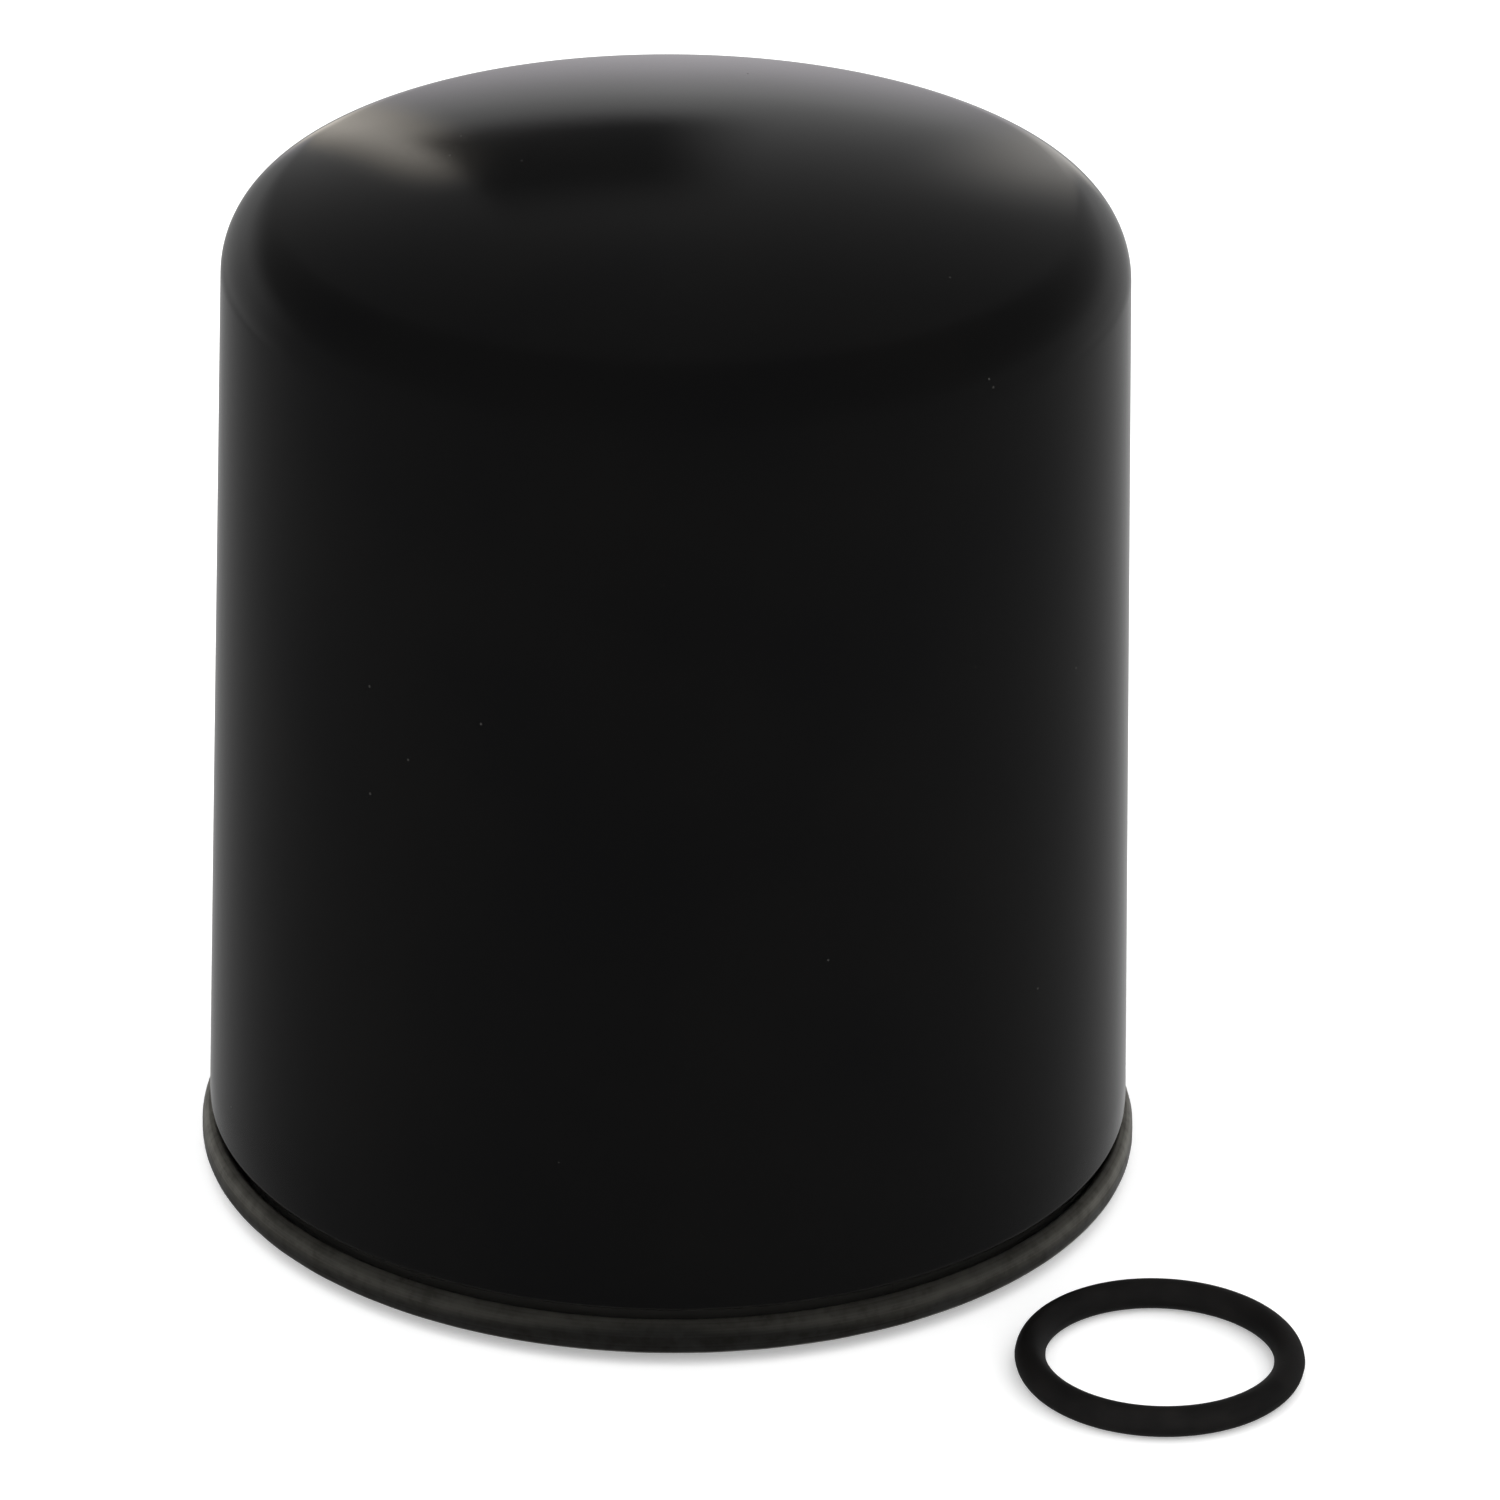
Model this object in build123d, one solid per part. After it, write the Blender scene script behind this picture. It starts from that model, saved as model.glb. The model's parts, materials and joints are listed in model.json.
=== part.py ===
from build123d import *
import math
import os

# Spin-on oil filter, standing on its base gasket with the dome up, and its loose O-ring seal beside it.
# Millimetres, +Z up. The origin is at the mouth of the threaded hole, on the filter's axis.

# Overall sizes
ringRadius = 38.0            # outside of the rolled seam ring
baseRadius = 37.45           # outside of the can wall, carried down to the seam ring's lower edge
wallTaper = 0.0246           # radius lost for each mm of height
ringBottom = -3.0            # lower edge of the seam ring
domeTop = 82.6               # highest point of the dome
crownRadius = 126.0          # spherical crown of the dome
shoulderRadius = 6.0         # rounded edge between the wall and the crown
ground = -3.9                # lower face of the base gasket, which the filter stands on
canSheet = 0.6               # thickness of the can's steel
ringSheet = 0.6              # thickness of the seam ring's steel

# Base plate
threadRadius = 8.73          # minor radius of the 3/4-16 UNF thread
neckRadius = 12.0
neckTop = 10.4
plateFace = 3.2              # inner face of the plate round the neck
plateRim = 5.4               # inner face of the plate's raised rim
inletRadius = 2.75
inletCircle = 17.5
inletCount = 8

# Filter element
elementBottom = 11.4         # lower face of the lower end cap
elementTop = 70.1            # upper face of the upper end cap
capSheet = 0.5
capRim = 31.75               # middle of the end caps' outer rims
tubeInside = 11.15
tubeOutside = 11.65
bondDepth = 1.9              # adhesive between a cap and the pleats
pleatCount = 44
pleatOutside = 30.8
pleatInside = 12.3
paper = 0.4

# Bypass valve, hung in the upper end cap
portRadius = 5.0
skirtInside = 7.35
skirtOutside = 7.95
cageFloor = 57.5
poppetRadius = 6.9
poppetTop = 69.0
poppetDisc = 0.9
stemRadius = 1.4

# Loose O-ring
oRingRadius = 10.1           # circle through the middle of the cord
oRingCord = 1.2              # radius of the cord
oRingX = 38.6
oRingY = -37.8


def spin(outline):
    """Solid of revolution from an outline of (radius, height) corners."""
    return revolve(Plane.XZ * make_face(Polyline(*outline, close=True)), Axis.Z)


def ring(inside, outside, bottom, top):
    return spin([(inside, bottom), (outside, bottom), (outside, top), (inside, top)])


def sheetSection(edges, thickness):
    """Section of bent sheet whose middle follows the edges."""
    return Face(Wire(edges).offset_2d(thickness / 2))


def bentRing(corners, bend, thickness):
    """Round pressing: its middle line runs through (radius, height) corners with rounded bends."""
    middle = FilletPolyline(*corners, radius=bend)
    return revolve(Plane.XZ * sheetSection(middle.edges(), thickness), Axis.Z)


def coil(radius, wire, bottom, top, turns):
    """Round-wire spring whose wire centre climbs from bottom to top."""
    path = Helix((top - bottom) / turns, top - bottom, radius, center=(0, 0, bottom))
    section = Plane(origin=path @ 0, z_dir=path % 0) * Circle(wire / 2)
    return sweep(section, path=path, is_frenet=True)


def canWallRadius(height, inset):
    return baseRadius - inset - wallTaper * (height - ringBottom)


def makeCan():
    """Drawn can: spherical crown, rounded shoulder, tapered wall, and a neck hooked into the seam ring."""
    inset = canSheet / 2
    crown = crownRadius - inset
    shoulder = shoulderRadius - inset
    crownCentre = domeTop - crownRadius
    lean = math.atan(wallTaper)
    # The shoulder's centre lies one shoulder radius inside the wall and the same inside the crown.
    reach = canWallRadius(crownCentre, inset) - shoulder / math.cos(lean)
    span = crown - shoulder
    squares = 1 + wallTaper**2
    rise = (reach * wallTaper + math.sqrt((reach * wallTaper) ** 2 - squares * (reach**2 - span**2))) / squares
    centreX = reach - wallTaper * rise
    centreZ = crownCentre + rise
    crownTilt = math.degrees(math.atan2(rise, centreX))
    wallTilt = math.degrees(lean)
    crownArc = CenterArc((0, crownCentre), crown, crownTilt, 90 - crownTilt)
    shoulderArc = CenterArc((centreX, centreZ), shoulder, wallTilt, crownTilt - wallTilt)
    wallTop = shoulderArc @ 0
    neck = 36.0
    hook = 36.9
    hookBottom = ringBottom + 1.1
    wallEnd = 0.9
    lower = FilletPolyline(
        (wallTop.X, wallTop.Y),
        (canWallRadius(wallEnd, inset), wallEnd),
        (neck, wallEnd - 0.5),
        (neck, hookBottom),
        (hook, hookBottom),
        (hook, hookBottom + 0.6),
        radius=0.4,
    )
    edges = [crownArc.edge(), shoulderArc.edge(), *lower.edges()]
    section = sheetSection(edges, canSheet)
    halfPlane = Pos(baseRadius, domeTop / 2) * Rectangle(2 * baseRadius, 2 * domeTop)
    return revolve(Plane.XZ * (section & halfPlane), Axis.Z)


def makeSeamRing():
    """Seam ring: an inner flange under the base plate, the gasket's channel, and the rolled outer band."""
    low = ringBottom + ringSheet / 2
    band = ringRadius - ringSheet / 2
    corners = [
        (21.0, -0.3),
        (27.7, -0.3),
        (27.7, 2.1),
        (34.1, 2.1),
        (34.1, low),
        (band, low),
        (band, -1.55),
        (band - 0.2, -0.95),
        (band - 0.75, -0.35),
    ]
    return bentRing(corners, 0.4, ringSheet)


def makeTappingPlate():
    """Threaded base plate with a drawn neck, a raised rim and a circle of inlet holes."""
    plate = spin(
        [
            (threadRadius, 0),
            (27.0, 0),
            (27.0, 2.45),
            (35.2, 2.45),
            (35.2, plateRim),
            (25.6, plateRim),
            (24.2, plateFace),
            (neckRadius, plateFace),
            (neckRadius, neckTop),
            (threadRadius, neckTop),
        ]
    )
    holes = PolarLocations(inletCircle, inletCount) * Cylinder(inletRadius, 4 * plateFace)
    return plate - holes


def makeDrainCuff():
    """Rubber cuff of the anti-drain valve, round the neck, with the lip that seals the element."""
    return spin(
        [
            (neckRadius, 4.4),
            (13.6, 4.4),
            (13.6, neckTop),
            (16.5, neckTop),
            (16.5, elementBottom),
            (10.6, elementBottom),
            (10.6, neckTop),
            (neckRadius, neckTop),
        ]
    )


def makeDrainFlap():
    """Flexible skirt of the anti-drain valve, lying over the inlet holes."""
    return bentRing([(14.4, 7.2), (17.0, 6.6), (22.6, 3.9)], 2.0, 0.9)


def makeEndCap(innerCorners, face, rimEnd):
    """Pressed end cap: its inner edge, its flat face and its turned outer rim."""
    return bentRing([*innerCorners, (capRim, face), (capRim, rimEnd)], 0.5, capSheet)


def makeCentreTube(bottom, top):
    """Perforated tube that holds the pleats open."""
    tube = ring(tubeInside, tubeOutside, bottom, top)
    rows = 7
    rowGap = (top - bottom) / rows
    drill = Rot(90, 0, 0) * Cylinder(1.5, 3 * tubeOutside)
    drills = [
        Pos(0, 0, bottom + (row + 0.5) * rowGap) * Rot(0, 0, 36 * turn + 18 * (row % 2)) * drill
        for row in range(rows)
        for turn in range(5)
    ]
    return tube - drills


def pleatOutline(tipRadius, tipWidth, valleyRadius, valleyWidth):
    """Closed zigzag of flat-topped pleats."""
    corners = []
    for pleat in range(pleatCount):
        for radius, width, angle in ((tipRadius, tipWidth, pleat), (valleyRadius, valleyWidth, pleat + 0.5)):
            turned = Rot(0, 0, 360 * angle / pleatCount)
            for side in (-1, 1):
                corners.append((turned * Pos(radius, side * width / 2)).position)
    return make_face(Polyline(*corners, close=True))


def makePleats(bottom, top):
    """Pleated paper, one sheet thickness all the way round."""
    tipWidth = 2.0
    valleyGap = 0.45
    outside = pleatOutline(pleatOutside, tipWidth, pleatInside + paper, valleyGap)
    inside = pleatOutline(pleatOutside - paper, tipWidth - 2 * paper, pleatInside, valleyGap + 2 * paper)
    return Pos(0, 0, bottom) * extrude(outside - inside, top - bottom)


def makePleatClip(bottom, top):
    """Folded metal clip over the pleat where the paper's two ends meet."""
    clip = Pos(29.3, 0) * Rectangle(3.6, 2.7) - Pos(29.0, 0) * Rectangle(3.7, 2.1)
    return Pos(0, 0, bottom) * extrude(clip, top - bottom)


def makeBypassSeat():
    """Valve seat: a flange on the upper end cap, the port, and a skirt that holds the rubber washer."""
    flangeBottom = elementTop + 0.05
    flangeTop = flangeBottom + 0.9
    return spin(
        [
            (portRadius, flangeBottom),
            (skirtInside, flangeBottom),
            (skirtInside, 67.9),
            (skirtOutside, 67.9),
            (skirtOutside, flangeBottom),
            (10.6, flangeBottom),
            (10.6, flangeTop),
            (portRadius, flangeTop),
        ]
    )


def makePoppet():
    """Poppet disc with a guide boss above and a stem below."""
    underside = poppetTop - poppetDisc
    disc = spin([(0, underside), (poppetRadius, underside), (poppetRadius, poppetTop), (0, poppetTop)])
    boss = Pos(0, 0, poppetTop) * Cone(4.2, 3.4, 0.8, align=(Align.CENTER, Align.CENTER, Align.MIN))
    stem = Pos(0, 0, 56.0) * Cylinder(stemRadius, underside - 56.0, align=(Align.CENTER, Align.CENTER, Align.MIN))
    return disc + boss + stem


def makeBypassCage():
    """Spring cage under the seat: four windows in its wall and a guide hole for the stem."""
    floorTop = cageFloor + 0.8
    cup = ring(skirtInside, skirtOutside, cageFloor, 67.85) + ring(stemRadius + 0.1, skirtOutside, cageFloor, floorTop)
    window = Pos(skirtInside, 0, 62.5) * Box(4.0, 5.5, 5.5)
    return cup - PolarLocations(0, 4) * window


def makeORing():
    return Pos(oRingX, oRingY, ground + oRingCord) * Torus(oRingRadius, oRingCord)


capMiddle = elementBottom + capSheet / 2
topMiddle = elementTop - capSheet / 2
pleatBottom = elementBottom + capSheet + bondDepth + 0.1
pleatTop = elementTop - capSheet - bondDepth - 0.1
tubeTop = topMiddle - capSheet / 2 - 0.3

parts = {
    "can": makeCan(),
    "seam_ring": makeSeamRing(),
    "seam_sealant": ring(34.45, 35.65, ringBottom + ringSheet + 0.05, -0.6),
    "tapping_plate": makeTappingPlate(),
    "base_gasket": ring(28.4, 33.4, ground, 1.75),
    "anti_drain_cuff": makeDrainCuff(),
    "anti_drain_flap": makeDrainFlap(),
    "lower_end_cap": makeEndCap([(10.85, 15.2), (10.85, capMiddle)], capMiddle, 15.4),
    "upper_end_cap": makeEndCap([(8.3, topMiddle)], topMiddle, 66.0),
    "lower_bond": ring(tubeOutside + 0.1, 31.2, pleatBottom - bondDepth, pleatBottom),
    "upper_bond": ring(tubeOutside + 0.1, 31.2, pleatTop, pleatTop + bondDepth),
    "centre_tube": makeCentreTube(elementBottom + 0.8, tubeTop),
    "filter_pleats": makePleats(pleatBottom, pleatTop),
    "pleat_clip": makePleatClip(pleatBottom + 0.5, pleatTop - 0.5),
    "bypass_seat": makeBypassSeat(),
    "bypass_seal": ring(5.2, 7.25, poppetTop + 0.15, elementTop),
    "bypass_poppet": makePoppet(),
    "bypass_spring": coil(4.2, 0.8, cageFloor + 1.25, poppetTop - poppetDisc - 0.45, 5.5),
    "bypass_cage": makeBypassCage(),
    "element_spring": coil(15.0, 1.8, elementTop + 0.95, 80.0, 2.5),
    "o_ring": makeORing(),
}

os.makedirs("parts", exist_ok=True)
for name, shape in parts.items():
    export_step(shape, f"parts/{name}.step")
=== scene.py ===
import json
import math

import bpy
import numpy as np
from mathutils import Matrix, Vector


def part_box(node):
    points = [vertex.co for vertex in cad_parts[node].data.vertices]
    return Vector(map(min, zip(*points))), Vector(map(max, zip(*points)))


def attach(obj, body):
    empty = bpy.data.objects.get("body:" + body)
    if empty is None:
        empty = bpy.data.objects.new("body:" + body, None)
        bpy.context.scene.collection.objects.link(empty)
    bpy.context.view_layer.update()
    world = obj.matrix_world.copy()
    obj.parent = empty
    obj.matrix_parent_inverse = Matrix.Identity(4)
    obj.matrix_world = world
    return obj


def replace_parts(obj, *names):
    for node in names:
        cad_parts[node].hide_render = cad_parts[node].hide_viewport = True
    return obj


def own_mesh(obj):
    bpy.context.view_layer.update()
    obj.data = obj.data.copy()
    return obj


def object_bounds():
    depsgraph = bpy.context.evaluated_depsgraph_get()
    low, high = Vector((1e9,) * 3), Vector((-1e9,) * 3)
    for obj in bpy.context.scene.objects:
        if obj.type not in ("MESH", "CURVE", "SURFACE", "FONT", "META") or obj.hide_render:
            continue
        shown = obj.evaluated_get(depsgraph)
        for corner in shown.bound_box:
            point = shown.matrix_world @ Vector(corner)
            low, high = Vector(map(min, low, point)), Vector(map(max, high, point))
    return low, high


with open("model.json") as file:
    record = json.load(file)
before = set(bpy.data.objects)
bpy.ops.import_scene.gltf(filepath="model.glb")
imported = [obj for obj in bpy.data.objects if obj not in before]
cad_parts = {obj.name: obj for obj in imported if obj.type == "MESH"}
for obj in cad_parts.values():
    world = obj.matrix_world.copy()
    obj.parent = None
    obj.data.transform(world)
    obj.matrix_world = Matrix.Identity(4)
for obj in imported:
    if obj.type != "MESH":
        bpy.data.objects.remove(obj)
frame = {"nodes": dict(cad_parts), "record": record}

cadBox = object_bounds()
mm = 0.001


# An empty node material, with its shader and its object coordinates.
def startMaterial(name):
    material = bpy.data.materials.new(name)
    material.use_nodes = True
    tree = material.node_tree
    tree.nodes.clear()
    output = tree.nodes.new("ShaderNodeOutputMaterial")
    shader = tree.nodes.new("ShaderNodeBsdfPrincipled")
    tree.links.new(shader.outputs["BSDF"], output.inputs["Surface"])
    place = tree.nodes.new("ShaderNodeTexCoord").outputs["Object"]
    return material, tree, shader, place


# The x, y and z of a vector.
def split(tree, vector):
    node = tree.nodes.new("ShaderNodeSeparateXYZ")
    tree.links.new(vector, node.inputs["Vector"])
    return node.outputs


# The same coordinates, squeezed or stretched along each axis.
def stretch(tree, place, scale):
    node = tree.nodes.new("ShaderNodeMapping")
    node.inputs["Scale"].default_value = scale
    tree.links.new(place, node.inputs["Vector"])
    return node.outputs["Vector"]


# Cloudy noise whose blotches are about size metres across. Most of it lies between 0.3 and 0.7.
def noise(tree, place, size, detail=3.0, roughness=0.5, distortion=0.0):
    node = tree.nodes.new("ShaderNodeTexNoise")
    node.inputs["Scale"].default_value = 1.0 / size
    node.inputs["Detail"].default_value = detail
    node.inputs["Roughness"].default_value = roughness
    node.inputs["Distortion"].default_value = distortion
    tree.links.new(place, node.inputs["Vector"])
    return node.outputs["Fac"]


# Distance to scattered points about size metres apart, as a share of size.
def cells(tree, place, size):
    node = tree.nodes.new("ShaderNodeTexVoronoi")
    node.inputs["Scale"].default_value = 1.0 / size
    tree.links.new(place, node.inputs["Vector"])
    return node.outputs["Distance"]


# Carries a value from one range to another, held at its ends.
def span(tree, value, low, high, toLow=0.0, toHigh=1.0, smooth=False):
    node = tree.nodes.new("ShaderNodeMapRange")
    if smooth:
        node.interpolation_type = "SMOOTHSTEP"
    node.inputs["From Min"].default_value = low
    node.inputs["From Max"].default_value = high
    node.inputs["To Min"].default_value = toLow
    node.inputs["To Max"].default_value = toHigh
    tree.links.new(value, node.inputs["Value"])
    return node.outputs["Result"]


# One step of arithmetic between two values, either of which may be a number. Some steps need only the first.
def sums(tree, operation, first, second=0.0):
    node = tree.nodes.new("ShaderNodeMath")
    node.operation = operation
    for socket, value in zip(node.inputs, (first, second)):
        if isinstance(value, (int, float)):
            socket.default_value = value
        else:
            tree.links.new(value, socket)
    return node.outputs["Value"]


# A colour between two colours, by amount from 0 to 1. Either colour may be a socket.
def blendColours(tree, amount, first, second):
    node = tree.nodes.new("ShaderNodeMix")
    node.data_type = "RGBA"
    tree.links.new(amount, node.inputs["Factor"])
    for socket, colour in ((node.inputs[6], first), (node.inputs[7], second)):
        if isinstance(colour, tuple):
            socket.default_value = (*colour, 1.0)
        else:
            tree.links.new(colour, socket)
    return node.outputs[2]


# Bump from a height of 0 to 1 that stands for depth metres.
def relief(tree, shader, height, depth):
    node = tree.nodes.new("ShaderNodeBump")
    node.inputs["Distance"].default_value = depth
    tree.links.new(height, node.inputs["Height"])
    tree.links.new(node.outputs["Normal"], shader.inputs["Normal"])


blackPaint = {
    "colour": (0.0038, 0.0038, 0.0039),
    "worn": (0.0045, 0.0044, 0.0043),
    "cloudSize": 16 * mm,
    "roughness": (0.085, 0.115),
    "fineSize": 0.5 * mm,
    "fineRoughness": 0.01,
    "peelSize": 1.1 * mm,
    "peelDepth": 0.0007 * mm,
    "dust": (0.035, 0.034, 0.031),
    "dustSpacing": 3.4 * mm,
    "dustRadius": 0.022,                   # as a share of the spacing
    "dustPatches": 9 * mm,                 # the specks lie in patches about this large
    "dustRoughness": 0.4,
    "dustHeight": 4.0,                     # as a multiple of the peel's depth
    "grooveLight": (0.034, 0.033, 0.030),      # painted light: a paler colour that lifts the shade in the groove above the seam
    "grooveLightShare": 0.5,
    "grooveLightFrom": 1.0 * mm,
    "grooveLightTo": 0.3 * mm,
    "grooveLightPatches": 3 * mm,
}


# Satin stoving paint on drawn steel: faint orange peel, soft cloudy wear, a few specks of dust, and painted
# light in the groove above the seam, a paler colour that lifts its shade.
def makeBlackPaint():
    look = blackPaint
    material, tree, shader, place = startMaterial("blackPaint")
    cloud = noise(tree, place, look["cloudSize"], 4.0)
    fine = noise(tree, place, look["fineSize"], 2.0)
    specks = cells(tree, place, look["dustSpacing"])
    dust = span(tree, specks, look["dustRadius"], look["dustRadius"] * 1.6, 1.0, 0.0)
    dust = sums(tree, "MULTIPLY", dust, span(tree, noise(tree, place, look["dustPatches"], 1.0), 0.52, 0.58))
    height = split(tree, place)["Z"]
    # painted light: paler low on the can, in the groove above the seam, lifting its shade
    grooveLight = span(tree, height, look["grooveLightTo"], look["grooveLightFrom"], look["grooveLightShare"], 0.0)
    uneven = span(tree, noise(tree, place, look["grooveLightPatches"], 1.0), 0.3, 0.7, 0.85, 1.0)
    grooveLight = sums(tree, "MULTIPLY", grooveLight, uneven)
    base = blendColours(tree, span(tree, cloud, 0.35, 0.7), look["colour"], look["worn"])
    base = blendColours(tree, dust, base, look["dust"])
    tree.links.new(blendColours(tree, grooveLight, base, look["grooveLight"]), shader.inputs["Base Color"])
    fineShare = span(tree, fine, 0.3, 0.7, -look["fineRoughness"], look["fineRoughness"])
    gloss = sums(tree, "ADD", span(tree, cloud, 0.3, 0.7, *look["roughness"]), fineShare)
    gloss = sums(tree, "ADD", gloss, sums(tree, "MULTIPLY", dust, look["dustRoughness"]))
    tree.links.new(gloss, shader.inputs["Roughness"])
    shader.inputs["IOR"].default_value = 1.5
    raised = sums(tree, "MULTIPLY", dust, look["dustHeight"])
    peel = sums(tree, "ADD", noise(tree, place, look["peelSize"], 2.0), raised)
    relief(tree, shader, peel, look["peelDepth"])
    return material


seamSteel = {
    "colour": (0.170, 0.168, 0.160),
    "stain": (0.105, 0.100, 0.089),
    "stainSize": 5 * mm,
    "spotSize": 0.9 * mm,
    "streaks": 0.35,                       # how far the rolling lines shift the stain, either way
    "lipHighlight": (0.400, 0.386, 0.340),       # painted highlight along the top of the lip
    "lipHighlightFrom": -1.1 * mm,
    "lipHighlightTo": -0.1 * mm,
    "lipHighlightRagged": 0.25 * mm,
    "lipHighlightWider": 1.0 * mm,               # the painted highlight reaches deeper down the lip at the left and right
    "roughness": (0.30, 0.42),
    "metallic": 0.94,
    "lineHeight": 0.30 * mm,
    "lineDepth": 0.009 * mm,
}


# Rolled steel, oiled and tarnished: rolling lines round the rim, dark stains, and a painted highlight along the
# lip.
# The lines are noise over (radius, 0, height), where the radius is the root of x squared plus y squared.
def makeSeamSteel():
    look = seamSteel
    material, tree, shader, place = startMaterial("seamSteel")
    across, along, height = split(tree, place)
    squares = sums(tree, "ADD", sums(tree, "MULTIPLY", across, across), sums(tree, "MULTIPLY", along, along))
    radius = sums(tree, "POWER", squares, 0.5)
    rim = tree.nodes.new("ShaderNodeCombineXYZ")
    tree.links.new(radius, rim.inputs["X"])
    tree.links.new(height, rim.inputs["Z"])
    lines = noise(tree, rim.outputs["Vector"], look["lineHeight"], 3.0, 0.6)
    stains = noise(tree, place, look["stainSize"], 5.0, 0.62)
    spots = noise(tree, place, look["spotSize"], 3.0)
    amount = sums(tree, "ADD", span(tree, stains, 0.40, 0.62, 0.0, 0.7), span(tree, spots, 0.45, 0.7, 0.0, 0.4))
    amount = sums(tree, "ADD", amount, span(tree, lines, 0.35, 0.65, -look["streaks"], look["streaks"]))
    plain = blendColours(tree, amount, look["colour"], look["stain"])
    # painted highlight: lighter along the top of the lip, reaching further down it at the left and right
    ragged = span(tree, stains, 0.3, 0.7, -look["lipHighlightRagged"], look["lipHighlightRagged"])
    sideways = sums(tree, "DIVIDE", sums(tree, "ABSOLUTE", across), radius)
    lip = sums(tree, "ADD", sums(tree, "ADD", height, ragged),
               span(tree, sideways, 0.05, 0.45, 0.0, look["lipHighlightWider"]))
    lipHighlight = span(tree, lip, look["lipHighlightFrom"], look["lipHighlightTo"], smooth=True)
    lipHighlight = sums(tree, "MULTIPLY", lipHighlight, span(tree, amount, 0.0, 1.0, 1.0, 0.45))
    tree.links.new(blendColours(tree, lipHighlight, plain, look["lipHighlight"]), shader.inputs["Base Color"])
    tree.links.new(span(tree, amount, 0.0, 1.0, *look["roughness"]), shader.inputs["Roughness"])
    shader.inputs["Metallic"].default_value = look["metallic"]
    relief(tree, shader, sums(tree, "ADD", lines, sums(tree, "MULTIPLY", spots, 0.5)), look["lineDepth"])
    return material


sealRubber = {
    "colour": (0.0074, 0.0068, 0.0066),
    "bloom": (0.0125, 0.0105, 0.0095),
    "bloomSize": 3.5 * mm,
    "roughness": (0.52, 0.68),
    "sheen": 0.35,
    "grainSize": 0.22 * mm,
    "grainDepth": 0.008 * mm,
}


# Matt nitrile rubber: fine grain with a faint brownish bloom.
def makeSealRubber():
    look = sealRubber
    material, tree, shader, place = startMaterial("sealRubber")
    bloom = noise(tree, place, look["bloomSize"], 4.0, 0.6)
    tint = blendColours(tree, span(tree, bloom, 0.4, 0.7), look["colour"], look["bloom"])
    tree.links.new(tint, shader.inputs["Base Color"])
    tree.links.new(span(tree, bloom, 0.3, 0.7, *look["roughness"]), shader.inputs["Roughness"])
    shader.inputs["Specular IOR Level"].default_value = look["sheen"]
    relief(tree, shader, noise(tree, place, look["grainSize"], 2.0), look["grainDepth"])
    return material


tinPlate = {
    "colour": (0.52, 0.52, 0.50), "stain": (0.33, 0.32, 0.29), "roughness": (0.24, 0.40), "metallic": 1.0,
    "blotch": 6 * mm, "spots": 1.7 * mm, "grain": (1.0, 1.0, 0.08), "lineSize": 0.16 * mm,
    "lineDepth": 0.004 * mm,
}
plateSteel = {
    "colour": (0.24, 0.24, 0.235), "stain": (0.12, 0.115, 0.10), "roughness": (0.36, 0.55), "metallic": 1.0,
    "blotch": 8 * mm, "spots": 1.7 * mm, "grain": (1.0, 0.12, 1.0), "lineSize": 0.2 * mm,
    "lineDepth": 0.008 * mm,
}
springWire = {
    "colour": (0.30, 0.295, 0.29), "stain": (0.14, 0.125, 0.10), "roughness": (0.26, 0.44), "metallic": 1.0,
    "blotch": 3 * mm, "spots": 1.7 * mm, "grain": (1.0, 1.0, 1.0), "lineSize": 0.12 * mm,
    "lineDepth": 0.003 * mm,
}


# Plain pressed or drawn metal: soft blotches, fine scratches along one direction, and small spots.
def makeSheetMetal(name, look):
    material, tree, shader, place = startMaterial(name)
    blotch = noise(tree, place, look["blotch"], 4.0)
    lines = noise(tree, stretch(tree, place, look["grain"]), look["lineSize"], 2.0)
    spots = span(tree, cells(tree, place, look["spots"]), 0.06, 0.16, 1.0, 0.0)
    amount = sums(tree, "ADD", span(tree, blotch, 0.35, 0.7), sums(tree, "MULTIPLY", spots, 0.35))
    tree.links.new(blendColours(tree, amount, look["colour"], look["stain"]), shader.inputs["Base Color"])
    tree.links.new(span(tree, lines, 0.3, 0.7, *look["roughness"]), shader.inputs["Roughness"])
    shader.inputs["Metallic"].default_value = look["metallic"]
    relief(tree, shader, lines, look["lineDepth"])
    return material


valveRubber = {
    "colour": (0.20, 0.045, 0.025), "second": (0.13, 0.030, 0.018), "roughness": (0.45, 0.62),
    "cloud": 5 * mm, "grain": 0.3 * mm, "pitSpacing": 2.5 * mm, "depth": 0.01 * mm,
}
gasketRubber = {
    "colour": (0.010, 0.010, 0.010), "second": (0.018, 0.017, 0.016), "roughness": (0.38, 0.55),
    "cloud": 6 * mm, "grain": 0.35 * mm, "pitSpacing": 3.0 * mm, "depth": 0.01 * mm,
}
bondAdhesive = {
    "colour": (0.42, 0.28, 0.11), "second": (0.30, 0.18, 0.06), "roughness": (0.30, 0.50),
    "cloud": 4 * mm, "grain": 0.5 * mm, "pitSpacing": 1.6 * mm, "depth": 0.05 * mm,
}
seamCompound = {
    "colour": (0.20, 0.13, 0.06), "second": (0.12, 0.08, 0.04), "roughness": (0.45, 0.65),
    "cloud": 3 * mm, "grain": 0.3 * mm, "pitSpacing": 1.2 * mm, "depth": 0.03 * mm,
}
blackNylon = {
    "colour": (0.020, 0.020, 0.021), "second": (0.030, 0.030, 0.030), "roughness": (0.36, 0.52),
    "cloud": 4 * mm, "grain": 0.25 * mm, "pitSpacing": 2.2 * mm, "depth": 0.006 * mm,
}


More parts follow.
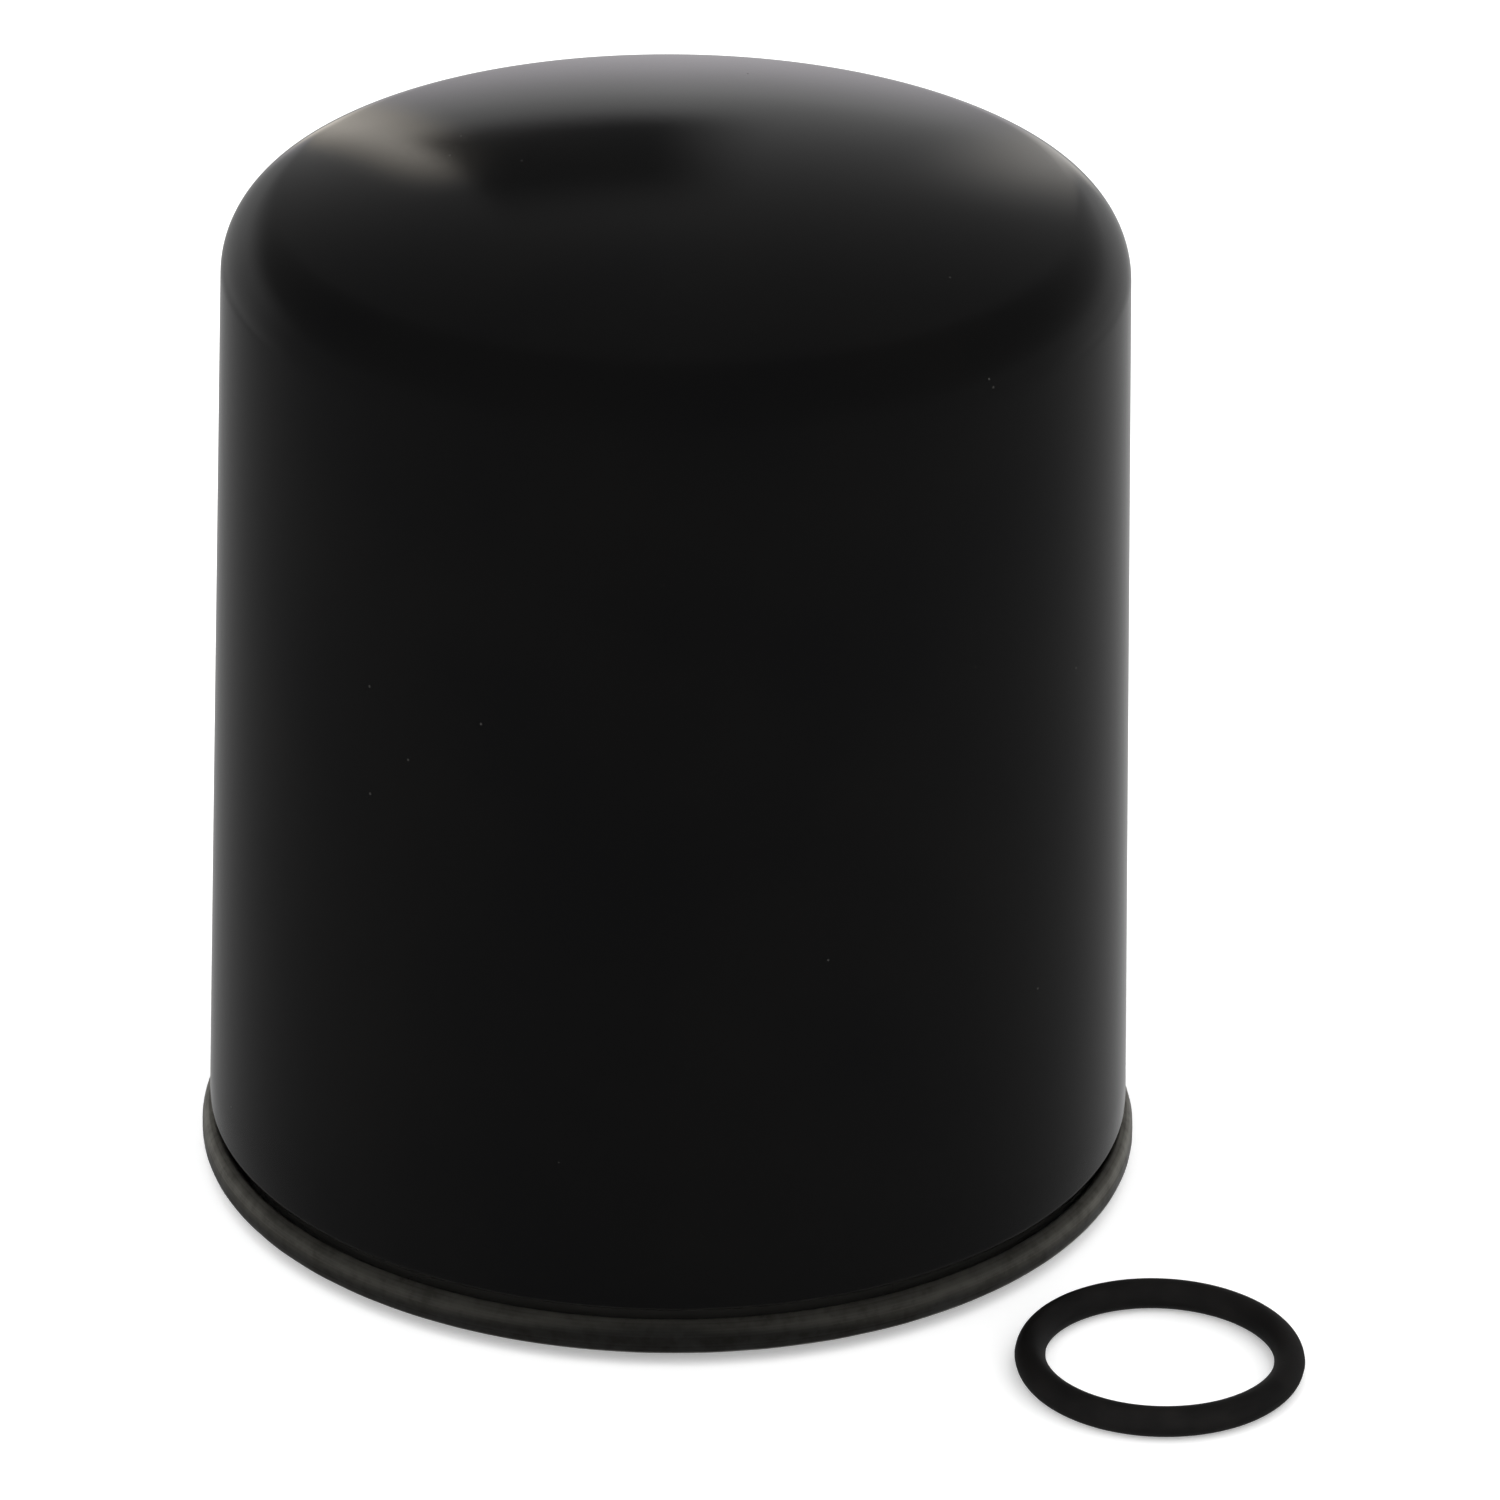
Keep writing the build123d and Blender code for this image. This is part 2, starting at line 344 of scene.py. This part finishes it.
# Moulded rubber, nylon, adhesive or compound: a soft cloud of two colours with grain and pits.
def makeMoulded(name, look):
    material, tree, shader, place = startMaterial(name)
    cloud = span(tree, noise(tree, place, look["cloud"], 4.0), 0.35, 0.7)
    grain = noise(tree, place, look["grain"], 2.0)
    pits = span(tree, cells(tree, place, look["pitSpacing"]), 0.08, 0.2)
    tree.links.new(blendColours(tree, cloud, look["colour"], look["second"]), shader.inputs["Base Color"])
    tree.links.new(span(tree, grain, 0.3, 0.7, *look["roughness"]), shader.inputs["Roughness"])
    relief(tree, shader, sums(tree, "ADD", sums(tree, "MULTIPLY", grain, 0.4), pits), look["depth"])
    return material


filterPaper = {
    "colour": (0.62, 0.47, 0.21),
    "fibre": (0.48, 0.34, 0.13),
    "fibreSize": 0.25 * mm,
    "fibreRun": (1.0, 1.0, 0.35),          # the fibres lie mostly upright
    "blotchSize": 7 * mm,
    "roughness": (0.80, 0.95),
    "rib": 1.6 * mm,
    "depth": 0.06 * mm,
}


# Resin-treated paper: matted fibres over shallow pressed ribs, a sine of the height.
def makeFilterPaper():
    look = filterPaper
    material, tree, shader, place = startMaterial("filterPaper")
    fibres = noise(tree, stretch(tree, place, look["fibreRun"]), look["fibreSize"], 5.0, 0.7, 1.2)
    blotch = noise(tree, place, look["blotchSize"], 3.0)
    amount = sums(tree, "ADD", span(tree, fibres, 0.4, 0.65, 0.0, 0.7), span(tree, blotch, 0.4, 0.7, 0.0, 0.4))
    tree.links.new(blendColours(tree, amount, look["colour"], look["fibre"]), shader.inputs["Base Color"])
    tree.links.new(span(tree, fibres, 0.3, 0.7, *look["roughness"]), shader.inputs["Roughness"])
    ribs = sums(tree, "SINE", sums(tree, "MULTIPLY", split(tree, place)["Z"], 2 * math.pi / look["rib"]))
    relief(tree, shader, sums(tree, "ADD", sums(tree, "MULTIPLY", ribs, 0.5), fibres), look["depth"])
    return material


finishes = {
    "black_paint": makeBlackPaint(),
    "bare_steel": makeSeamSteel(),
    "o_ring_rubber": makeSealRubber(),
    "tinned_steel": makeSheetMetal("tinPlate", tinPlate),
    "phosphated_steel": makeSheetMetal("plateSteel", plateSteel),
    "spring_steel": makeSheetMetal("springWire", springWire),
    "valve_rubber": makeMoulded("valveRubber", valveRubber),
    "gasket_rubber": makeMoulded("gasketRubber", gasketRubber),
    "bond_adhesive": makeMoulded("bondAdhesive", bondAdhesive),
    "sealing_compound": makeMoulded("seamCompound", seamCompound),
    "moulded_nylon": makeMoulded("blackNylon", blackNylon),
    "filter_paper": makeFilterPaper(),
}
print("finishes made:", len(finishes))


# Gives every CAD node the finish that its record slot names.
def paintNodes():
    slots = {entry["node"]: entry["material_slot"] for entry in frame["record"]["subparts"]}
    for node, obj in frame["nodes"].items():
        obj.data.materials.clear()
        obj.data.materials.append(finishes[slots[node]])


paintNodes()
print("nodes painted:", len(frame["nodes"]))


# Skin over a grid of points. Its rows close round. Its columns close too, or end in a middle point with a fan
# of triangles round it. The signed volume, a sum of triple products, tells whether the faces point outwards.
def addGrid(name, points, slotName, body="filter", closedAlong=False):
    around, along = points.shape[:2]
    index = np.arange(around * along).reshape(around, along)
    beside = np.roll(index, -1, axis=0)
    vertices = points.reshape(-1, 3)
    if closedAlong:
        ahead, across = np.roll(index, -1, axis=1), np.roll(beside, -1, axis=1)
        quads = np.stack([index, beside, across, ahead], axis=-1).reshape(-1, 4)
        caps = np.zeros((0, 3), int)
    else:
        quads = np.stack([index[:, :-1], beside[:, :-1], beside[:, 1:], index[:, 1:]], axis=-1).reshape(-1, 4)
        first = np.full(around, len(vertices))
        last = first + 1
        caps = np.concatenate([
            np.stack([beside[:, 0], index[:, 0], first], axis=-1),
            np.stack([index[:, -1], beside[:, -1], last], axis=-1),
        ])
        vertices = np.concatenate([vertices, [points[:, 0].mean(axis=0), points[:, -1].mean(axis=0)]])
    triangles = np.concatenate([quads[:, :3], quads[:, [0, 2, 3]], caps])
    corner = vertices[triangles]
    volume = np.einsum("ij,ij->i", corner[:, 0], np.cross(corner[:, 1], corner[:, 2])).sum()
    if volume < 0:
        quads, caps = quads[:, ::-1], caps[:, ::-1]
    mesh = bpy.data.meshes.new(name)
    mesh.from_pydata(vertices.tolist(), [], quads.tolist() + caps.tolist())
    mesh.polygons.foreach_set("use_smooth", np.ones(len(mesh.polygons), bool))
    mesh.materials.append(finishes[slotName])
    obj = bpy.data.objects.new(name, mesh)
    bpy.context.scene.collection.objects.link(obj)
    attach(obj, body)
    return obj


# A vector divided by its own length.
def unit(vector):
    return vector / np.linalg.norm(vector)


# Points (cos a, sin a) at even steps of the angle a, without the last.
def arc(start, end, steps):
    angle = np.linspace(start, end, steps, endpoint=False)[:, None]
    return np.hstack([np.cos(angle), np.sin(angle)])


# Straight runs between (radius, height) corners, each corner rounded by an arc of radius bend: a point of the
# arc is its centre plus bend times (cos, sin) of an angle that sweeps the corner's turn.
def bentLine(corners, bend, step, arcPoints=7):
    corners = np.array(corners, float)
    rows = [corners[:1]]
    for before, corner, after in zip(corners, corners[1:], corners[2:]):
        inward, outward = unit(corner - before), unit(after - corner)
        side = np.sign(inward[0] * outward[1] - inward[1] * outward[0])
        turn = math.acos(np.clip(inward @ outward, -1.0, 1.0))
        start = corner - inward * bend * math.tan(turn / 2)
        centre = start + side * bend * np.array([-inward[1], inward[0]])
        base = math.atan2(*(start - centre)[::-1])
        angles = base + side * np.linspace(0, turn, arcPoints)
        rows.append(centre + bend * np.stack([np.cos(angles), np.sin(angles)], axis=-1))
    rows.append(corners[-1:])
    line = np.concatenate(rows)
    gaps = np.linalg.norm(np.diff(line, axis=0), axis=1)
    runs = [np.linspace(start, end, max(1, round(gap / step)), endpoint=False)
            for start, end, gap in zip(line, line[1:], gaps)]
    return np.concatenate([*runs, line[-1:]])


# Loop round a bent sheet: the middle line plus and minus half the thickness along its normal.
def thicken(line, thickness):
    along = np.gradient(line, axis=0)
    along /= np.linalg.norm(along, axis=1, keepdims=True)
    normal = np.stack([-along[:, 1], along[:, 0]], axis=-1)
    return np.concatenate([line + normal * thickness / 2, (line - normal * thickness / 2)[::-1]])


# Surface of revolution: x = r cos a, y = r sin a, z = h, for each (r, h) of the profile and each angle a.
def spin(profile, around):
    angle = np.linspace(0, 2 * math.pi, around, endpoint=False)[:, None]
    radius, height = profile[:, 0], profile[:, 1]
    return np.stack([radius * np.cos(angle), radius * np.sin(angle), height + 0 * angle], axis=-1), angle


# How far each point is from the axis: the root of x squared plus y squared.
def radiusOf(points):
    return np.hypot(points[..., 0], points[..., 1])


# Moves points away from the axis by amount, a number for each point.
def push(points, amount):
    points[..., :2] *= (1 + amount / (radiusOf(points) + 1e-12))[..., None]
    return points


# Smooth step from 0 at low to 1 at high: 3 s squared minus 2 s cubed, of the share s of the way.
def ramp(values, low, high):
    share = np.clip((values - low) / (high - low), 0, 1)
    return share * share * (3 - 2 * share)


canShape = {
    "sheet": 0.6 * mm,
    "footRadius": 37.45 * mm,      # outside of the wall at footHeight, where its line would end
    "footHeight": -3.0 * mm,
    "taper": 0.0246,               # radius lost for each unit of height
    "crown": 126.0 * mm,           # outside radius of the dome
    "shoulder": 6.0 * mm,
    "wallEnd": 0.9 * mm,           # heights from here to hookEnd are from the plate's underside
    "neckTop": 0.4 * mm,
    "neckEnd": -1.9 * mm,
    "hookEnd": -1.3 * mm,
    "neckRadius": 36.0 * mm,
    "hookRadius": 36.9 * mm,
    "bend": 0.4 * mm,
    "wallStep": 3.0 * mm,
    "crownSteps": 44,
    "shoulderSteps": 30,
    "around": 288,
    "pole": 0.004,                 # radians at the top that the cap closes
    "waver": 0.012 * mm,           # slow unevenness of the drawn wall
    "waverLow": (2 * mm, 9 * mm),  # heights between which it comes in
    "waverTop": 20 * mm,           # radius within which it dies out on the dome
}


# Drawn can: a spherical crown, an arc for the shoulder, a tapered wall, and a neck hooked into the seam.
# The shoulder's centre lies one shoulder radius inside the wall's line, and at the difference of the two radii
# from the crown's centre, which gives a quadratic for how far it is above that centre.
# The wall wavers by slow sine waves round it, which fade out at the neck and on the dome.
def makeCan():
    look, half = canShape, canShape["sheet"] / 2
    taper, lean = look["taper"], math.atan(look["taper"])
    crown, shoulder = look["crown"] - half, look["shoulder"] - half
    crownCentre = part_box("can")[1][2] - look["crown"]

    def wallRadius(height):
        return look["footRadius"] - half - taper * (height - look["footHeight"])

    reach = wallRadius(crownCentre) - shoulder / math.cos(lean)
    lift = reach * taper
    squares = 1 + taper ** 2
    rise = (lift + math.sqrt(lift ** 2 - squares * (reach ** 2 - (crown - shoulder) ** 2))) / squares
    centre = np.array([reach - taper * rise, crownCentre + rise])
    tilt = math.atan2(rise, centre[0])
    crownArc = [0, crownCentre] + crown * arc(math.pi / 2 - look["pole"], tilt, look["crownSteps"])
    shoulderArc = centre + shoulder * arc(tilt, lean, look["shoulderSteps"])
    lower = bentLine([
        centre + shoulder * np.array([math.cos(lean), math.sin(lean)]),
        (wallRadius(look["wallEnd"]), look["wallEnd"]),
        (look["neckRadius"], look["neckTop"]),
        (look["neckRadius"], look["neckEnd"]),
        (look["hookRadius"], look["neckEnd"]),
        (look["hookRadius"], look["hookEnd"]),
    ], look["bend"], look["wallStep"])
    line = np.concatenate([crownArc, shoulderArc, lower])
    points, angle = spin(thicken(line, look["sheet"]), look["around"])
    height = points[..., 2]
    waves = np.sin(2 * angle + 0.7) + 0.6 * np.sin(3 * angle + 2.1 + height * 40)
    waves = waves + 0.4 * np.sin(7 * angle - height * 90)
    fade = ramp(height, *look["waverLow"]) * ramp(radiusOf(points), 0.0, look["waverTop"])
    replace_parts(addGrid("canShell", push(points, look["waver"] * waves * fade), "black_paint"), "can")


ringShape = {
    "sheet": 0.6 * mm,
    "radius": 38.0 * mm,           # outside of the band
    "flange": (21.0 * mm, -0.3 * mm),          # inner edge of the flange, radius and height
    "channel": (27.7 * mm, 34.1 * mm),         # the channel's two walls
    "channelTop": 2.1 * mm,
    "low": -2.7 * mm,
    # the lip's corners: how far in from the band, and height
    "lip": ((0.0, -1.55 * mm), (0.2 * mm, -0.95 * mm), (0.75 * mm, -0.35 * mm)),
    "bend": 0.4 * mm,
    "step": 0.8 * mm,
    "around": 320,
    "chatter": 0.012 * mm,         # marks of the seaming roller
    "rollerMarks": 46,
    "band": (36.6 * mm, 37.4 * mm),            # radii between which they come in
    "lipWaver": 0.03 * mm,
    "lipRise": (-1.6 * mm, -0.6 * mm),         # heights between which it comes in
}


# Rolled ring: flange, gasket channel, chuck wall and outer band as one bent sheet spun round the axis.
# The band ripples by a sine wave round it, and its lip rises and falls a little by slower waves.
def makeSeamRing():
    look = ringShape
    band = look["radius"] - look["sheet"] / 2
    inner, outer = look["channel"]
    line = bentLine([
        look["flange"],
        (inner, look["flange"][1]),
        (inner, look["channelTop"]),
        (outer, look["channelTop"]),
        (outer, look["low"]),
        (band, look["low"]),
        *[(band - inset, height) for inset, height in look["lip"]],
    ], look["bend"], look["step"])
    points, angle = spin(thicken(line, look["sheet"]), look["around"])
    onBand = ramp(radiusOf(points), *look["band"])
    onLip = onBand * ramp(points[..., 2], *look["lipRise"])
    marks = np.sin(look["rollerMarks"] * angle + 1.5 * np.sin(3 * angle)) * (0.6 + 0.4 * np.sin(5 * angle + 1.0))
    waves = 0.5 * np.sin(4 * angle + 0.4) + 0.3 * np.sin(9 * angle + 2.0) + 0.2 * np.sin(17 * angle)
    points = push(points, look["chatter"] * marks * onBand)
    points[..., 2] += look["lipWaver"] * waves * onLip
    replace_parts(addGrid("seamRing", points, "bare_steel", closedAlong=True), "seam_ring")


sealShape = {
    "flash": 0.020 * mm,           # the line where the mould parted
    "flashWidth": 0.07,
    "waver": 0.05 * mm,            # how far out of round
    "around": 240,
    "section": 48,
}


# O-ring: a torus whose cord bulges by a bell curve at its inner and outer middle, where the mould parted, and
# whose circle is out of round by slow sine waves.
def makeLooseSeal():
    look = sealShape
    low, high = (np.array(corner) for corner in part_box("o_ring"))
    cord = (high[2] - low[2]) / 2
    circle = (high[0] - low[0]) / 2 - cord
    section = np.linspace(0, 2 * math.pi, look["section"], endpoint=False)[:, None]
    about = np.linspace(0, 2 * math.pi, look["around"], endpoint=False)[None, :]
    bulge = cord + look["flash"] * np.exp(-(np.sin(section) / look["flashWidth"]) ** 2)
    waves = np.sin(2 * about + 0.9) + 0.5 * np.sin(3 * about + 2.2)
    radius = circle + look["waver"] * waves + bulge * np.cos(section)
    height = bulge * np.sin(section) + 0 * about
    points = np.stack([radius * np.cos(about), radius * np.sin(about), height], axis=-1) + (low + high) / 2
    seal = addGrid("looseSeal", points, "o_ring_rubber", "loose_seal", closedAlong=True)
    seal.visible_glossy = False    # the paint does not mirror it
    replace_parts(seal, "o_ring")


springShapes = {
    "bypassSpring": {"node": "bypass_spring", "wire": 0.8 * mm, "turns": 7.0},
    "elementSpring": {"node": "element_spring", "wire": 1.8 * mm, "turns": 3.5},
}
springEnds = {
    "deadTurn": 0.75,              # part of a turn at each end that lies close to the next
    "closed": 1.02,                # climb of a closed turn, in wires
    "grind": 0.2,                  # depth ground off each end, in wires
    "pointsPerTurn": 40,
    "section": 16,
}


# Coil spring: the wire's centre goes round at (R cos a, R sin a) and climbs slowly at both ends and evenly
# between them. A circle of points follows it, and the ends are ground flat by holding their height.
def makeSpring(name):
    look, ends = springShapes[name], springEnds
    low, high = (np.array(corner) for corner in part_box(look["node"]))
    wire, turns, deadTurn = look["wire"], look["turns"], ends["deadTurn"]
    middle = high[0] - wire / 2
    turn = np.linspace(0, turns, int(turns * ends["pointsPerTurn"]))
    closed = ends["closed"] * wire
    active = np.clip((turn - deadTurn) / (turns - 2 * deadTurn), 0, 1)
    climb = high[2] - low[2] - wire - 2 * closed * deadTurn
    height = closed * (np.minimum(turn, deadTurn) + np.maximum(turn - turns + deadTurn, 0)) + climb * active
    angle = 2 * math.pi * turn
    path = np.stack([middle * np.cos(angle), middle * np.sin(angle), low[2] + wire / 2 + height], axis=-1)
    outward = np.stack([np.cos(angle), np.sin(angle), 0 * angle], axis=-1)
    tangent = np.gradient(path, axis=0)
    upward = np.cross(tangent / np.linalg.norm(tangent, axis=1, keepdims=True), outward)
    section = np.linspace(0, 2 * math.pi, ends["section"], endpoint=False)[:, None, None]
    points = path + wire / 2 * (np.cos(section) * outward + np.sin(section) * upward)
    grind = ends["grind"] * wire
    points[..., 2] = np.clip(points[..., 2], low[2] + grind, high[2] - grind)
    spring = addGrid(name, points, "spring_steel")
    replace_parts(spring, look["node"])
    return spring


# The bypass spring gets a mesh of its own; nothing here shortens it.
def squashSpring(spring):
    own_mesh(spring)


makeCan()
makeSeamRing()
makeLooseSeal()
squashSpring(makeSpring("bypassSpring"))
makeSpring("elementSpring")
print("shapes made: can, seam ring, loose seal, springs")


camera = {
    "aim": (6.3 * mm, 0.0, 31.25 * mm),
    "place": (0.0, -649.16 * mm, 347.15 * mm),
    "roll": 0.8185,                # degrees, lens turned clockwise as seen from behind
    "lens": 216.0,
    "sensor": 36.0,
    "clip": (0.01, 20.0),
}


# The camera looks from its place at its aim, then rolls about its own line of sight.
def setCamera():
    data = bpy.data.cameras.new("studioCamera")
    data.lens = camera["lens"]
    data.sensor_width = camera["sensor"]
    data.clip_start, data.clip_end = camera["clip"]
    obj = bpy.data.objects.new("studioCamera", data)
    bpy.context.scene.collection.objects.link(obj)
    place = Vector(camera["place"])
    look = (Vector(camera["aim"]) - place).to_track_quat("-Z", "Y").to_matrix().to_4x4()
    obj.matrix_world = Matrix.Translation(place) @ look @ Matrix.Rotation(math.radians(camera["roll"]), 4, "Z")
    bpy.context.scene.camera = obj


floor = {
    "size": 3.0,
    "drop": 0.02 * mm,
    "colour": (0.93, 0.93, 0.93),
    "mottle": (0.95, 0.95, 0.95),
    "mottleSize": 60 * mm,
    "roughness": 0.9,
    "glow": 0.28,
}


# A plain pale sheet just under the filter, out of the can's reflections.
def makeFloor():
    half = floor["size"] / 2
    height = cadBox[0][2] - floor["drop"]
    corners = [(-half, -half, height), (half, -half, height), (half, half, height), (-half, half, height)]
    mesh = bpy.data.meshes.new("studioFloor")
    mesh.from_pydata(corners, [], [(0, 1, 2, 3)])
    obj = bpy.data.objects.new("studioFloor", mesh)
    bpy.context.scene.collection.objects.link(obj)
    material, tree, shader, place = startMaterial("paleFloor")
    shader.inputs["Roughness"].default_value = floor["roughness"]
    shader.inputs["Specular IOR Level"].default_value = 0.0
    shader.inputs["Emission Color"].default_value = (1.0, 1.0, 1.0, 1.0)
    shader.inputs["Emission Strength"].default_value = floor["glow"]
    mottle = noise(tree, place, floor["mottleSize"], 2.0)
    tree.links.new(blendColours(tree, mottle, floor["colour"], floor["mottle"]), shader.inputs["Base Color"])
    mesh.materials.append(material)
    obj.visible_glossy = False


studio = {
    "pale": 1.0,                   # what the camera sees past the floor
    "fill": 1.30,                  # soft light from all round
    "behind": 0.46,                # straight behind the filter, as gloss sees it
    "fallOff": 41.0,               # degrees of compass angle over which that drops to a third
    "rightGain": 1.4,              # how much brighter the right is than the left
    "rightFrom": -15.0,            # compass angles between which that comes in
    "rightFull": 25.0,
    "overhead": 7.5,               # height, in degrees, above which the room gets darker
    "overheadFallOff": 14.5,
    "lowFade": 6.0,                # soft lower edge of the lamps and cards
    "tintFull": 0.25,              # light at which a lamp's tint shows in full
}
# Lamps and dark cards that only gloss sees. Each has its compass angle from straight behind the filter, with
# right as plus, and its height above the horizon, in degrees. Then come the width of the soft edge at each side,
# and the light that a lamp adds or the share of the light that a card lets through.
lamps = [
    {"from": -11.8, "to": 9.9, "edges": (3.0, 3.0), "low": -10.0, "high": 4.4, "fade": 14.0,
     "light": 0.23, "tint": (1.02, 0.98, 1.03)},
    {"from": -9.3, "to": -7.3, "edges": (2.6, 3.0), "low": -10.0, "high": 21.7, "fade": 9.0,
     "light": 0.76, "tint": (1.07, 1.0, 0.90)},
    {"from": 9.2, "to": 13.4, "edges": (4.6, 5.0), "low": -10.0, "high": 16.5, "fade": 18.0,
     "light": 0.60, "tint": (1.03, 1.0, 0.96)},
    {"from": -60.0, "to": -22.0, "edges": (30.0, 20.0), "low": -17.0, "high": 16.0, "fade": 12.0,
     "light": 0.10, "tint": (1.0, 1.0, 1.0)},
    {"from": 28.0, "to": 65.0, "edges": (20.0, 30.0), "low": -17.0, "high": 4.0, "fade": 10.0,
     "light": 0.07, "tint": (1.0, 1.0, 1.0)},
]
cards = [
    {"from": -7.8, "to": 1.2, "edges": (1.0, 4.5), "low": 13.8, "high": 29.5, "fade": 9.5, "pass": 0.12},
]


# 1 between low and high, with a soft edge of its own width at each side, and 0 outside.
def window(tree, value, low, high, edges):
    rise = span(tree, value, low - edges[0] / 2, low + edges[0] / 2, smooth=True)
    fall = span(tree, value, high - edges[1] / 2, high + edges[1] / 2, 1.0, 0.0, smooth=True)
    return sums(tree, "MULTIPLY", rise, fall)


# A soft-edged rectangle of the room: one window across times one window up.
def patch(tree, compass, height, look):
    across = window(tree, compass, look["from"], look["to"], look["edges"])
    upright = window(tree, height, look["low"], look["high"], (studio["lowFade"], look["fade"]))
    return sums(tree, "MULTIPLY", across, upright)


# Soft light from all round. Gloss sees a room that is dark in front and pale behind, with lamps and cards: its
# light falls off as e to the minus angle over fallOff, and again with the height above overhead.
def makeStudio():
    world = bpy.data.worlds.new("studio")
    bpy.context.scene.world = world
    world.use_nodes = True
    tree = world.node_tree
    tree.nodes.clear()
    output = tree.nodes.new("ShaderNodeOutputWorld")
    back = tree.nodes.new("ShaderNodeBackground")
    tree.links.new(back.outputs["Background"], output.inputs["Surface"])
    right, away, up = split(tree, tree.nodes.new("ShaderNodeTexCoord").outputs["Generated"])
    toDegrees = 180 / math.pi
    compass = sums(tree, "MULTIPLY", sums(tree, "ARCTAN2", right, away), toDegrees)
    height = sums(tree, "MULTIPLY", sums(tree, "ARCSINE", up), toDegrees)
    turned = sums(tree, "DIVIDE", sums(tree, "ABSOLUTE", compass), -studio["fallOff"])
    room = sums(tree, "MULTIPLY", sums(tree, "EXPONENT", turned), studio["behind"])
    gain = span(tree, compass, studio["rightFrom"], studio["rightFull"], 1.0, studio["rightGain"], smooth=True)
    room = sums(tree, "MULTIPLY", room, gain)
    above = sums(tree, "MAXIMUM", sums(tree, "SUBTRACT", height, studio["overhead"]))
    above = sums(tree, "DIVIDE", above, -studio["overheadFallOff"])
    room = sums(tree, "MULTIPLY", room, sums(tree, "EXPONENT", above))
    rays = tree.nodes.new("ShaderNodeLightPath").outputs
    gloss = rays["Is Glossy Ray"]
    fill = span(tree, rays["Is Camera Ray"], 0.0, 1.0, studio["fill"], studio["pale"])
    colour = (1.0, 1.0, 1.0)
    for lamp in lamps:
        shine = sums(tree, "MULTIPLY", patch(tree, compass, height, lamp), lamp["light"])
        room = sums(tree, "ADD", room, shine)
        share = sums(tree, "MULTIPLY", span(tree, shine, 0.0, studio["tintFull"]), gloss)
        colour = blendColours(tree, share, colour, lamp["tint"])
    for card in cards:
        shade = span(tree, patch(tree, compass, height, card), 0.0, 1.0, 1.0, card["pass"])
        room = sums(tree, "MULTIPLY", room, shade)
    level = sums(tree, "ADD", sums(tree, "MULTIPLY", room, gloss),
                 sums(tree, "MULTIPLY", sums(tree, "SUBTRACT", 1.0, gloss), fill))
    tree.links.new(level, back.inputs["Strength"])
    tree.links.new(colour, back.inputs["Color"])
    world.cycles.sampling_method = "NONE"      # every ray finds the room by itself, so gloss stays clean
    bpy.context.scene.view_settings.view_transform = "Standard"


setCamera()
makeFloor()
makeStudio()
print("camera, floor and light set")
